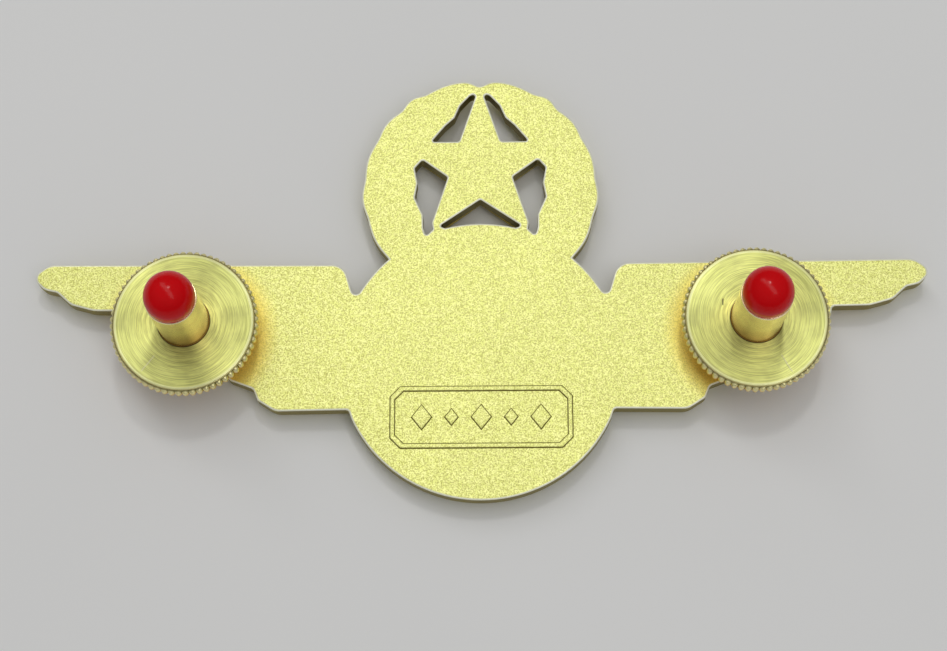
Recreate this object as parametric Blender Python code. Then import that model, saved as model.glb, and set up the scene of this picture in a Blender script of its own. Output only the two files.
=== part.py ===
"""Pilot wings pin lying face down: a die-struck badge with two threaded studs and two red-tipped thumb nuts.

Units: the driving dimensions are millimetres and MM turns them into metres. +X runs along the wings,
+Y to the top of the star, +Z out of the badge's back. Outlines are drawn about the centre of the round
body, and the whole pin stands on z = 0, centred on the origin.
"""
import math

import bmesh
import bpy
from mathutils import Vector

MM = 0.001

# Badge outline
DISC_RADIUS = 11.97
DISC_CENTRE_Y = -6.734
RING_CENTRE_Y = 15.3
RING_NOTCH_RADIUS = 10.08
RING_TOP_NOTCH = 9.62
# Each lobe of the wreath ends at an angle and rises this far above its notches
RING_LOBES = ((62.0, 0.14), (47.0, 0.28), (27.5, 0.18), (5.4, 0.12), (-15.0, 0.2))
LAST_LOBE_RISE = 0.12
STAR_CENTRE_Y = 17.35
STAR_INNER_RADIUS = 2.88
STAR_OUTER_RADIUS = 7.54
ARC_STEP = 18.0
LOBE_STEPS = 5

# Heights above the surface that the badge's face rests on
RELIEF_Z = 0.0
FACE_Z = 1.0
BACK_Z = 2.6
EDGE_BEVEL = 0.22

# Face relief: each feather row is (reach, drop, feathers, height), and every Z is a height of its top
FEATHER_ROWS = ((22.5, 7.0, 7, 0.72), (15.5, 4.0, 6, 0.42))
FEATHER_START_X = 11.4
FEATHER_TOP_Y = 7.75
BAND_INNER_RADIUS = 7.4
BAND_OUTER_RADIUS = 9.5
BAND_Z = 0.45
STAR_PEAK_Z = 0.15
SEAL_RADIUS = 11.55
SEAL_RIM_RADIUS = 10.4
SEAL_BEAD_RADIUS = 8.2
SEAL_ROOT_Z = 1.25
SEAL_FIELD_Z = 0.65
ROSE_RADIUS = 7.2
ROSE_INNER_RADIUS = 2.5

# Plain mark struck on the back
MARK_CENTRE_Y = -4.9
MARK_HALF_WIDTH = 7.6
MARK_HALF_HEIGHT = 2.6
MARK_BAND = 0.35
MARK_CUT = 0.9
MARK_RAISE = 0.13
LOZENGE_STEP = 2.5
LOZENGE_LARGE = 1.15
LOZENGE_SMALL = 0.8

# Screw thread shared by the studs and the nuts
PITCH = 0.635
THREAD_MAJOR = 1.4225
THREAD_DEPTH = 0.344
THREAD_CLEARANCE = 0.085
TURN_SEGMENTS = 16

# Studs, with heights above the badge's back
STUD_PLACES = {"left": (-24.7, 2.6), "right": (22.9, 2.6)}
STUD_HEIGHT = 7.0
STUD_FOOT_RADIUS = 2.1
STUD_FOOT_HEIGHT = 0.5
STUD_NECK_TOP = 1.0
SOLDER_RADIUS = 2.75
JOINT_GAP = 0.05

# Thumb nuts, with heights above the nut's underside
NUT_REST = 2.3
DISC_THICKNESS = 1.2
KNURL_RADIUS = 6.2
KNURL_DEPTH = 0.27
KNURL_TEETH = 64
NUT_EDGE = 0.32
RECESS_RADIUS = 3.2
RECESS_DEPTH = 0.5
BORE_RADIUS = 2.42
COLLAR_RADIUS = 2.3
COLLAR_TOP = 1.42
BARREL_RADIUS = 2.13
BARREL_TOP = 7.75
MOUTH_RADIUS = 2.0
THREAD_START = 0.9
SOCKET_FLOOR = 6.75
SOCKET_RADIUS = 1.62
SPIGOT_RADIUS = 1.52
TIP_RADIUS = 2.06
TIP_SKIRT = 0.6
TIP_DOME = 2.1
ROUND_SEGMENTS = 24
SEAL_SEGMENTS = 48


def clear_scene():
    """Empty the file of whatever it opened with."""
    for item in list(bpy.data.objects):
        bpy.data.objects.remove(item)


def finish(name, colour, roughness, metallic):
    """Make one Principled material."""
    material = bpy.data.materials.new(name)
    material.use_nodes = True
    shader = material.node_tree.nodes["Principled BSDF"]
    shader.inputs["Base Color"].default_value = (*colour, 1.0)
    shader.inputs["Roughness"].default_value = roughness
    shader.inputs["Metallic"].default_value = metallic
    return material


def empty(name, place, parent=None):
    """Add an empty that carries a group of pieces."""
    holder = bpy.data.objects.new(name, None)
    holder.location = Vector(place) * MM
    holder.parent = parent
    bpy.context.scene.collection.objects.link(holder)
    return holder


def add_piece(name, points, faces, parent, material=None):
    """Turn points in millimetres and their faces into an object under its parent."""
    mesh = bpy.data.meshes.new(name)
    work = bmesh.new()
    corners = [work.verts.new(Vector(point) * MM) for point in points]
    for face in faces:
        work.faces.new([corners[index] for index in face])
    bmesh.ops.recalc_face_normals(work, faces=work.faces)
    work.to_mesh(mesh)
    work.free()
    piece = bpy.data.objects.new(name, mesh)
    piece.parent = parent
    if material:
        mesh.materials.append(material)
    bpy.context.scene.collection.objects.link(piece)
    return piece


def add_tool(name, points, faces, parent):
    """Add a hidden body that a Boolean modifier joins or cuts with."""
    tool = add_piece(name, points, faces, parent)
    tool.hide_render = True
    tool.display_type = "WIRE"
    return tool


def combine(piece, tool, operation):
    """Join, cut or trim a piece with a hidden body."""
    modifier = piece.modifiers.new(tool.name, "BOOLEAN")
    modifier.operation = operation
    modifier.object = tool
    modifier.solver = "EXACT"


def shade_round(piece):
    """Shade the round sides smooth and keep the edges crisp."""
    piece.data.shade_smooth()
    piece.data.set_sharp_from_angle(angle=math.radians(35.0))


def polar(radius, degrees, centre=(0.0, 0.0)):
    """A point at an angle on a circle."""
    angle = math.radians(degrees)
    return (centre[0] + radius * math.cos(angle), centre[1] + radius * math.sin(angle))


def arc(radius, start, end, centre=(0.0, 0.0), step=ARC_STEP):
    """Points along a circular arc, both ends included."""
    count = max(1, round(abs(end - start) / step))
    return [polar(radius, start + (end - start) * index / count, centre) for index in range(count + 1)]


def rounded(corners):
    """Points of a closed polygon whose corners (x, y, radius) are rounded where the radius isn't zero."""
    outline = []
    for index, (x, y, radius) in enumerate(corners):
        corner = Vector((x, y))
        if radius == 0.0:
            outline.append((x, y))
            continue
        back = (Vector(corners[index - 1][:2]) - corner).normalized()
        ahead = (Vector(corners[(index + 1) % len(corners)][:2]) - corner).normalized()
        half = math.acos(max(-1.0, min(1.0, back.dot(ahead)))) / 2.0
        bisector = (back + ahead).normalized()
        centre = corner + bisector * (radius / math.sin(half))
        first = corner + back * (radius / math.tan(half)) - centre
        turn = first.angle_signed(corner + ahead * (radius / math.tan(half)) - centre)
        steps = max(2, math.ceil(abs(math.degrees(turn)) / ARC_STEP))
        start = math.degrees(math.atan2(first.y, first.x))
        sweep = -math.degrees(turn)
        outline += [polar(radius, start + sweep * step / steps, centre) for step in range(steps + 1)]
    return outline


def mirrored(outline):
    """The left-hand twin of a right-hand outline, run the other way round."""
    return [(-x, y) for x, y in reversed(outline)]


def prism(outline, low, high):
    """Points and faces of an outline extruded from one height to another."""
    count = len(outline)
    points = [(x, y, low) for x, y in outline] + [(x, y, high) for x, y in outline]
    sides = [(i, (i + 1) % count, count + (i + 1) % count, count + i) for i in range(count)]
    return points, [tuple(range(count)), tuple(range(count, 2 * count)), *sides]


def turned(profile, segments, radius_at=None):
    """Points and faces of a solid turned about Z from a profile of (radius, height).

    The profile starts and ends on the axis. radius_at changes a radius at one step of the turn."""
    rim = profile[1:-1]
    points = [(0.0, 0.0, profile[0][1]), (0.0, 0.0, profile[-1][1])]
    for radius, height in rim:
        for step in range(segments):
            local = radius_at(radius, step) if radius_at else radius
            points.append((*polar(local, 360.0 * step / segments), height))
    faces = []
    for step in range(segments):
        after = (step + 1) % segments
        faces.append((0, 2 + step, 2 + after))
        last = 2 + (len(rim) - 1) * segments
        faces.append((1, last + step, last + after))
        for row in range(len(rim) - 1):
            low = 2 + row * segments
            high = low + segments
            faces.append((low + step, low + after, high + after, high + step))
    return points, faces


def ring(profile, segments):
    """Points and faces of a ring turned about Z from a closed profile that misses the axis."""
    points = []
    for step in range(segments):
        points += [(*polar(radius, 360.0 * step / segments), height) for radius, height in profile]
    count = len(profile)
    faces = []
    for step in range(segments):
        here = step * count
        after = ((step + 1) % segments) * count
        for row in range(count):
            down = (row + 1) % count
            faces.append((here + row, here + down, after + down, after + row))
    return points, faces


def thread(major, depth, start, turns):
    """Points and faces of a threaded rod, a right-hand helix of flat crests and roots about Z."""
    rises = (0.0, PITCH / 8.0, PITCH * 7.0 / 16.0, PITCH * 11.0 / 16.0)
    radii = (major, major, major - depth, major - depth)
    rows = 4 * turns
    points = []
    where = {}
    for row in range(rows + 5):
        steps = TURN_SEGMENTS if row <= rows else 1
        for step in range(steps):
            height = start + PITCH * (row // 4 + step / TURN_SEGMENTS) + rises[row % 4]
            where[row, step] = len(points)
            points.append((*polar(radii[row % 4], 360.0 * step / TURN_SEGMENTS), height))
        where[row - 4, TURN_SEGMENTS] = where[row, 0]
    points += [(0.0, 0.0, start - 2.0 * PITCH), (0.0, 0.0, start + PITCH * (turns + 3.0))]
    low_end = len(points) - 2
    high_end = len(points) - 1
    faces = [(low_end, *[where[row, 0] for row in range(5)])]
    faces.append((high_end, *[where[row, 0] for row in range(rows, rows + 5)]))
    for step in range(TURN_SEGMENTS):
        faces.append((low_end, where[0, step], where[0, step + 1]))
        faces.append((high_end, where[rows, step], where[rows, step + 1]))
        for row in range(rows):
            low = (where[row, step], where[row, step + 1])
            faces.append((*low, where[row + 1, step + 1], where[row + 1, step]))
    return points, faces


def star(outer, inner, tips, centre_y, root, shoulder, peak):
    """Points and faces of a faceted star: straight walls from root to shoulder, then a low pyramid."""
    rim = [polar(inner if step % 2 else outer, 90.0 + 180.0 * step / tips) for step in range(2 * tips)]
    count = len(rim)
    points = [(x, y + centre_y, root) for x, y in rim] + [(x, y + centre_y, shoulder) for x, y in rim]
    points.append((0.0, centre_y, peak))
    faces = [tuple(range(count))]
    for step in range(count):
        after = (step + 1) % count
        faces.append((step, after, count + after, count + step))
        faces.append((count + step, count + after, 2 * count))
    return points, faces


def wreath_edge():
    """The right half of the wreath's lobed outer edge, from the top notch down to the round body."""
    centre = (0.0, RING_CENTRE_Y)
    squares = RING_CENTRE_Y**2 + RING_NOTCH_RADIUS**2 - DISC_RADIUS**2
    neck = -90.0 + math.degrees(math.acos(squares / (2.0 * RING_CENTRE_Y * RING_NOTCH_RADIUS)))
    edge = [polar(RING_TOP_NOTCH, 90.0, centre)]
    start = 90.0
    for end, rise in (*RING_LOBES, (neck, LAST_LOBE_RISE)):
        for step in range(1, LOBE_STEPS + 1):
            along = step / LOBE_STEPS
            bulge = rise * math.sin(math.pi * along) ** 0.5 if step < LOBE_STEPS else 0.0
            edge.append(polar(RING_NOTCH_RADIUS + bulge, start + (end - start) * along, centre))
        start = end
    return edge


def wing_edge():
    """The right wing's edge, from the notch beside the round body out to the tip and back underneath."""
    corners = [
        (*polar(DISC_RADIUS, 37.0), 0.0),
        (10.78, 5.4, 0.4),
        (11.72, 8.55, 0.9),
        (37.0, 8.72, 1.6),
        (38.5, 7.6, 0.75),
        (37.3, 6.5, 1.2),
        (36.2, 6.25, 0.5),
        (35.0, 5.15, 1.5),
        (33.0, 4.6, 2.5),
        (29.8, 4.55, 0.3),
        (29.65, 3.6, 0.5),
        (27.4, 2.6, 1.5),
        (25.5, 2.2, 0.3),
        (25.3, 1.4, 0.5),
        (22.6, 0.4, 1.5),
        (21.2, -1.6, 1.0),
        (19.2, -2.35, 0.5),
        (18.8, -3.35, 0.5),
        (17.3, -4.3, 1.5),
        (11.15, -4.22, 0.3),
        (*polar(DISC_RADIUS, -26.0), 0.0),
    ]
    return rounded(corners)[1:-1]


def badge_outline():
    """The whole badge's edge, clockwise from the top notch of the wreath."""
    right = wreath_edge()
    wing = wing_edge()
    neck_angle = math.degrees(math.atan2(right[-1][1], right[-1][0]))
    notch_angle = math.degrees(math.atan2(wing[0][1], wing[0][0]))
    foot_angle = math.degrees(math.atan2(wing[-1][1], wing[-1][0]))
    right += arc(DISC_RADIUS, neck_angle, notch_angle, step=6.0)[1:-1]
    right += wing
    right += arc(DISC_RADIUS, foot_angle, -90.0, step=6.0)[1:]
    return right + mirrored(right[1:-1])


def window_outlines():
    """The five openings between the star and the leaves of the wreath."""
    upper = [
        (0.2, 24.5, 0.22),
        (1.72, 19.68, 0.3),
        (4.4, 19.68, 0.16),
        (3.95, 20.3, 0.0),
        (3.1, 21.35, 0.3),
        (2.3, 22.05, 0.3),
        (1.8, 23.2, 0.3),
        (0.85, 24.28, 0.3),
    ]
    side = [
        (5.05, 18.22, 0.25),
        (2.72, 16.5, 0.2),
        (4.12, 12.3, 0.5),
        (4.02, 11.62, 0.2),
        (4.8, 10.95, 0.22),
        (5.0, 11.8, 0.5),
        (5.02, 13.0, 0.4),
        (5.75, 14.6, 0.4),
        (5.5, 15.9, 0.4),
        (5.78, 17.35, 0.3),
    ]
    bottom = [(x, y, 0.0) for x, y in arc(DISC_RADIUS + 0.13, 74.5, 105.5, step=6.0)]
    lower = rounded([(0.0, 14.5, 0.2), (3.75, 11.9, 0.16), *bottom, (-3.75, 11.9, 0.16)])
    pair = [rounded(upper), rounded(side)]
    return [*pair, *[mirrored(outline) for outline in pair], lower]


def feather_row(reach, drop, count):
    """One raised row of feathers on the right wing, with a scalloped lower edge."""
    start_x = FEATHER_START_X
    top_y = FEATHER_TOP_Y
    row = [(start_x, top_y), (start_x + reach, top_y)]
    step_x = reach / count
    for feather in range(count):
        right_x = start_x + reach - feather * step_x
        base_y = top_y - drop * (0.3 + 0.7 * (feather + 0.5) / count)
        middle = (right_x - step_x / 2.0, base_y)
        row += arc(step_x / 2.0, 0.0, -180.0, middle, step=36.0)
    return row


def stretched(bodies):
    """Put several separate bodies into one list of points and faces."""
    points = []
    faces = []
    for more_points, more_faces in bodies:
        offset = len(points)
        points += more_points
        faces += [tuple(index + offset for index in face) for face in more_faces]
    return points, faces


def make_badge_plate(parent, material):
    """The struck badge: wings, round body, wreath and star in one sheet, with relief on its face."""
    plate = add_piece("badge_plate", *prism(badge_outline(), FACE_Z, BACK_Z), parent, material)
    edge = plate.modifiers.new("worn_edge", "BEVEL")
    edge.width = EDGE_BEVEL * MM
    edge.segments = 1
    edge.limit_method = "ANGLE"
    edge.angle_limit = math.radians(60.0)

    buried = FACE_Z + 0.3
    rows = []
    for reach, drop, count, height in FEATHER_ROWS:
        outline = feather_row(reach, drop, count)
        pair = [prism(outline, height, buried), prism(mirrored(outline), height, buried)]
        rows.append(add_tool(f"feather_row_{count}", *stretched(pair), parent))

    band = [
        (BAND_INNER_RADIUS, buried),
        (BAND_OUTER_RADIUS, buried),
        (BAND_OUTER_RADIUS, BAND_Z + 0.3),
        (BAND_OUTER_RADIUS - 0.6, BAND_Z),
        (BAND_INNER_RADIUS + 0.6, BAND_Z),
        (BAND_INNER_RADIUS, BAND_Z + 0.3),
    ]
    wreath = add_tool("wreath_band", *ring(band, 40), parent)
    wreath.location.y = RING_CENTRE_Y * MM
    emblem = add_tool(
        "star_relief",
        *star(STAR_OUTER_RADIUS - 0.1, STAR_INNER_RADIUS - 0.05, 5, STAR_CENTRE_Y, 1.2, 0.68, STAR_PEAK_Z),
        parent,
    )
    seal_profile = [
        (0.0, SEAL_ROOT_Z),
        (SEAL_RADIUS, SEAL_ROOT_Z),
        (SEAL_RADIUS, RELIEF_Z + 0.3),
        (SEAL_RADIUS - 0.3, RELIEF_Z),
        (SEAL_RIM_RADIUS, RELIEF_Z),
        (SEAL_RIM_RADIUS - 0.3, RELIEF_Z + 0.35),
        (SEAL_RIM_RADIUS - 0.5, SEAL_FIELD_Z),
        (SEAL_BEAD_RADIUS + 0.3, SEAL_FIELD_Z),
        (SEAL_BEAD_RADIUS + 0.2, SEAL_FIELD_Z - 0.25),
        (SEAL_BEAD_RADIUS - 0.2, SEAL_FIELD_Z - 0.25),
        (SEAL_BEAD_RADIUS - 0.3, SEAL_FIELD_Z),
        (0.0, SEAL_FIELD_Z),
    ]
    seal = add_tool("round_seal", *turned(seal_profile, SEAL_SEGMENTS), parent)
    # Half a step of turn keeps the rose's points off the edges between the seal's facets
    seal.rotation_euler.z = math.pi / SEAL_SEGMENTS
    points = star(ROSE_RADIUS, ROSE_INNER_RADIUS, 8, 0.0, 0.85, 0.55, STAR_PEAK_Z)
    rose = add_tool("compass_rose", *points, parent)
    for tool in (*rows, wreath, emblem):
        combine(plate, tool, "UNION")
    ground_radius = SEAL_RADIUS - 0.15
    ground_profile = [(0.0, -1.0), (ground_radius, -1.0), (ground_radius, 0.9), (0.0, 0.9)]
    ground = add_tool("seal_ground", *turned(ground_profile, SEAL_SEGMENTS), parent)
    combine(plate, ground, "DIFFERENCE")
    combine(plate, seal, "UNION")
    combine(plate, rose, "UNION")

    windows = [prism(outline, -0.5, BACK_Z + 0.5) for outline in window_outlines()]
    combine(plate, add_tool("wreath_windows", *stretched(windows), parent), "DIFFERENCE")

    mark = []
    raised = BACK_Z + MARK_RAISE
    outer = cut_corner_frame(MARK_HALF_WIDTH, MARK_HALF_HEIGHT, MARK_CUT)
    inner = cut_corner_frame(MARK_HALF_WIDTH - MARK_BAND, MARK_HALF_HEIGHT - MARK_BAND, MARK_CUT - 0.15)
    mark.append(frame_body(outer, inner, BACK_Z - 0.2, raised))
    for step in range(-2, 3):
        tall = LOZENGE_SMALL if step % 2 else LOZENGE_LARGE
        wide = 0.8 * tall
        x = step * LOZENGE_STEP
        lozenge = [(x, MARK_CENTRE_Y + tall), (x - wide, MARK_CENTRE_Y)]
        lozenge += [(x, MARK_CENTRE_Y - tall), (x + wide, MARK_CENTRE_Y)]
        mark.append(prism(lozenge, BACK_Z - 0.2, raised))
    combine(plate, add_tool("plain_cartouche", *stretched(mark), parent), "UNION")
    return plate


def cut_corner_frame(half_width, half_height, cut):
    """An eight-sided outline about the mark's centre: a rectangle with its corners cut off."""
    corners = []
    for sign_x, sign_y in ((1, 1), (-1, 1), (-1, -1), (1, -1)):
        side = (sign_x * half_width, MARK_CENTRE_Y + sign_y * (half_height - cut))
        end = (sign_x * (half_width - cut), MARK_CENTRE_Y + sign_y * half_height)
        corners += [side, end] if sign_x * sign_y > 0 else [end, side]
    return corners


def frame_body(outer, inner, low, high):
    """Points and faces of the flat band between two outlines with the same number of corners."""
    count = len(outer)
    points = [(x, y, z) for z in (low, high) for outline in (outer, inner) for x, y in outline]
    faces = []
    for here in range(count):
        after = (here + 1) % count
        faces.append((here, after, count + after, count + here))
        faces.append((2 * count + here, 2 * count + after, 3 * count + after, 3 * count + here))
        faces.append((here, after, 2 * count + after, 2 * count + here))
        faces.append((count + here, count + after, 3 * count + after, 3 * count + here))
    return points, faces


def make_stud(side, parent, material):
    """A threaded stud: a flat soldered foot, a plain neck and a chamfered screw."""
    turns = math.ceil((STUD_HEIGHT - STUD_NECK_TOP) / PITCH) + 4
    start = PITCH * (round(STUD_NECK_TOP / PITCH) - 3)
    stud = add_piece(f"{side}_stud", *thread(THREAD_MAJOR, THREAD_DEPTH, start, turns), parent, material)
    root = THREAD_MAJOR - THREAD_DEPTH
    limits = [
        (0.0, STUD_NECK_TOP - 0.15),
        (root - 0.1, STUD_NECK_TOP - 0.15),
        (THREAD_MAJOR + 0.1, STUD_NECK_TOP + 0.25),
        (THREAD_MAJOR + 0.1, STUD_HEIGHT - 0.45),
        (root - 0.15, STUD_HEIGHT),
        (0.0, STUD_HEIGHT),
    ]
    combine(stud, add_tool(f"{side}_stud_ends", *turned(limits, TURN_SEGMENTS), parent), "INTERSECT")
    foot = [
        (0.0, JOINT_GAP),
        (STUD_FOOT_RADIUS, JOINT_GAP),
        (STUD_FOOT_RADIUS, STUD_FOOT_HEIGHT - 0.12),
        (STUD_FOOT_RADIUS - 0.12, STUD_FOOT_HEIGHT),
        (root - 0.04, STUD_FOOT_HEIGHT),
        (root - 0.04, STUD_NECK_TOP + 0.4),
        (0.0, STUD_NECK_TOP + 0.4),
    ]
    combine(stud, add_tool(f"{side}_stud_foot", *turned(foot, TURN_SEGMENTS), parent), "UNION")
    return stud


def make_solder(side, parent, material):
    """The ring of silver solder that holds a stud's foot to the badge."""
    inner = STUD_FOOT_RADIUS + JOINT_GAP
    profile = [
        (inner, JOINT_GAP),
        (SOLDER_RADIUS, JOINT_GAP),
        (SOLDER_RADIUS - 0.25, 0.14),
        (inner + 0.2, 0.24),
        (inner, 0.36),
    ]
    return add_piece(f"{side}_solder_fillet", *ring(profile, ROUND_SEGMENTS), parent, material)


def make_nut_disc(side, parent, material):
    """The knurled thumb disc of a nut."""
    root = KNURL_RADIUS - NUT_EDGE

    def knurl(radius, step):
        return radius - KNURL_DEPTH if step % 2 and radius > root + 0.01 else radius

    profile = [
        (0.0, 0.0),
        (root, 0.0),
        (KNURL_RADIUS, 0.2),
        (KNURL_RADIUS, DISC_THICKNESS - 0.2),
        (root, DISC_THICKNESS),
        (0.0, DISC_THICKNESS),
    ]
    disc = add_piece(f"{side}_nut_disc", *turned(profile, 2 * KNURL_TEETH, knurl), parent, material)
    bore = [
        (0.0, -0.5),
        (RECESS_RADIUS, -0.5),
        (RECESS_RADIUS, RECESS_DEPTH),
        (BORE_RADIUS, RECESS_DEPTH),
        (BORE_RADIUS, DISC_THICKNESS + 0.5),
        (0.0, DISC_THICKNESS + 0.5),
    ]
    combine(disc, add_tool(f"{side}_disc_bore", *turned(bore, ROUND_SEGMENTS), parent), "DIFFERENCE")
    return disc


def make_barrel(side, parent, material):
    """The tall barrel of a nut: threaded inside, pressed through the disc, open for the tip on top."""
    foot = RECESS_DEPTH + 0.1
    outside = [
        (0.0, foot),
        (COLLAR_RADIUS, foot),
        (COLLAR_RADIUS, COLLAR_TOP - 0.1),
        (COLLAR_RADIUS - 0.08, COLLAR_TOP),
        (BARREL_RADIUS, COLLAR_TOP),
        (BARREL_RADIUS, BARREL_TOP - 0.12),
        (BARREL_RADIUS - 0.12, BARREL_TOP),
        (0.0, BARREL_TOP),
    ]
    barrel = add_piece(f"{side}_nut_barrel", *turned(outside, ROUND_SEGMENTS), parent, material)
    major = THREAD_MAJOR + THREAD_CLEARANCE
    turns = math.ceil((SOCKET_FLOOR - foot) / PITCH) + 3
    # The nut stands NUT_REST above the badge, so its thread starts at the stud's own phase there
    phase = -(NUT_REST % PITCH)
    start = phase + PITCH * (round((foot - phase) / PITCH) - 2)
    screw = add_tool(f"{side}_nut_screw", *thread(major, THREAD_DEPTH, start, turns), parent)
    mouth = [
        (0.0, -1.0),
        (MOUTH_RADIUS, -1.0),
        (MOUTH_RADIUS, foot + 0.05),
        (MOUTH_RADIUS - 0.3, THREAD_START),
        (0.0, THREAD_START),
    ]
    above = BARREL_TOP + 5.0
    socket = [(0.0, SOCKET_FLOOR), (SOCKET_RADIUS, SOCKET_FLOOR), (SOCKET_RADIUS, above), (0.0, above)]
    for name, profile in (("mouth", mouth), ("socket", socket)):
        cutter = add_tool(f"{side}_nut_{name}", *turned(profile, ROUND_SEGMENTS), parent)
        combine(barrel, cutter, "DIFFERENCE")
    combine(barrel, screw, "DIFFERENCE")
    return barrel


def make_tip(side, parent, material):
    """The red moulded tip that plugs the barrel's top and guards the end of the stud."""
    seat = BARREL_TOP + JOINT_GAP
    spigot_foot = SOCKET_FLOOR + 0.25
    dome_start = seat + TIP_SKIRT
    profile = [
        (0.0, spigot_foot),
        (SPIGOT_RADIUS - 0.12, spigot_foot),
        (SPIGOT_RADIUS, spigot_foot + 0.12),
        (SPIGOT_RADIUS, seat),
        (TIP_RADIUS - 0.1, seat),
        (TIP_RADIUS, seat + 0.1),
        (TIP_RADIUS, dome_start),
    ]
    for step in range(1, 6):
        across, up = polar(1.0, 15.0 * step)
        profile.append((TIP_RADIUS * across, dome_start + TIP_DOME * up))
    profile.append((0.0, dome_start + TIP_DOME))
    return add_piece(f"{side}_red_tip", *turned(profile, ROUND_SEGMENTS), parent, material)


def build():
    """Make the pin."""
    clear_scene()
    gold = finish("satin_gold_plate", (0.86, 0.70, 0.30), 0.45, 1.0)
    stud_brass = finish("stud_brass", (0.78, 0.60, 0.26), 0.35, 1.0)
    nut_brass = finish("turned_brass", (0.80, 0.68, 0.32), 0.30, 1.0)
    solder = finish("silver_solder", (0.72, 0.70, 0.66), 0.4, 1.0)
    red = finish("red_plastic", (0.45, 0.01, 0.01), 0.25, 0.0)

    badge = empty("badge_centre", (0.0, DISC_CENTRE_Y, 0.0))
    make_badge_plate(badge, gold)
    rounds = []
    for side, (x, y) in STUD_PLACES.items():
        stud_axis = empty(f"{side}_stud_axis", (x, y, BACK_Z), badge)
        nut_axis = empty(f"{side}_nut_axis", (0.0, 0.0, NUT_REST), stud_axis)
        rounds.append(make_stud(side, stud_axis, stud_brass))
        rounds.append(make_solder(side, stud_axis, solder))
        rounds.append(make_nut_disc(side, nut_axis, nut_brass))
        rounds.append(make_barrel(side, nut_axis, nut_brass))
        rounds.append(make_tip(side, nut_axis, red))
    for piece in rounds:
        shade_round(piece)


build()
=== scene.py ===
"""The looks of a pilot wings pin that lies face down: a struck gold badge, two studs and two thumb nuts.

Pieces are modelled in millimetres about their own axis. set_down brings each one to metres and to its place.
"""
import math

import bpy
from mathutils import Matrix, Quaternion, Vector, noise


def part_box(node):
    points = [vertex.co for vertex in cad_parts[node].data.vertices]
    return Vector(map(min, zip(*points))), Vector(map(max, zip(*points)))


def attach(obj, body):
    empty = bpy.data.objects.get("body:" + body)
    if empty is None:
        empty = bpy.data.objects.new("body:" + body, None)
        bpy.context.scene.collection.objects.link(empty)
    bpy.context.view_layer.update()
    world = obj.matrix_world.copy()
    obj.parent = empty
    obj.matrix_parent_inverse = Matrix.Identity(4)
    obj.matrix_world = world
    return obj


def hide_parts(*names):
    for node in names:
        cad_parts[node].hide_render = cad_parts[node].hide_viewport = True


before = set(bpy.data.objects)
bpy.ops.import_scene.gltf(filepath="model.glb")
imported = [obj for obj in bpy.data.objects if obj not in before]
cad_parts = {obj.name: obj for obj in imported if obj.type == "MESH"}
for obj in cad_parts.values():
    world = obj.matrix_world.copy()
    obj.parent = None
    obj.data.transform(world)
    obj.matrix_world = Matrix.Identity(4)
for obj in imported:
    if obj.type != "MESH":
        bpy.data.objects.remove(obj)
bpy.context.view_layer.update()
MM = 0.001


# The table and the room: a plain pale table, soft overhead light and a camera held close above the pin.
# The long soft light lies across the wings at a slant, so that turned faces show bright and dark sectors, and
# the room darkens towards the horizon, so that round edges show their shape.
class Wire:
    """A value inside a finish. Arithmetic on it adds the Math nodes."""

    def __init__(self, finish, socket):
        self.finish = finish
        self.socket = socket

    def __add__(self, other):
        return self.finish.math("ADD", self, other)

    __radd__ = __add__

    def __sub__(self, other):
        return self.finish.math("SUBTRACT", self, other)

    def __rsub__(self, other):
        return self.finish.math("SUBTRACT", other, self)

    def __mul__(self, other):
        return self.finish.math("MULTIPLY", self, other)

    __rmul__ = __mul__

    def __truediv__(self, other):
        return self.finish.math("DIVIDE", self, other)

    def __pow__(self, other):
        return self.finish.math("POWER", self, other)


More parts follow.
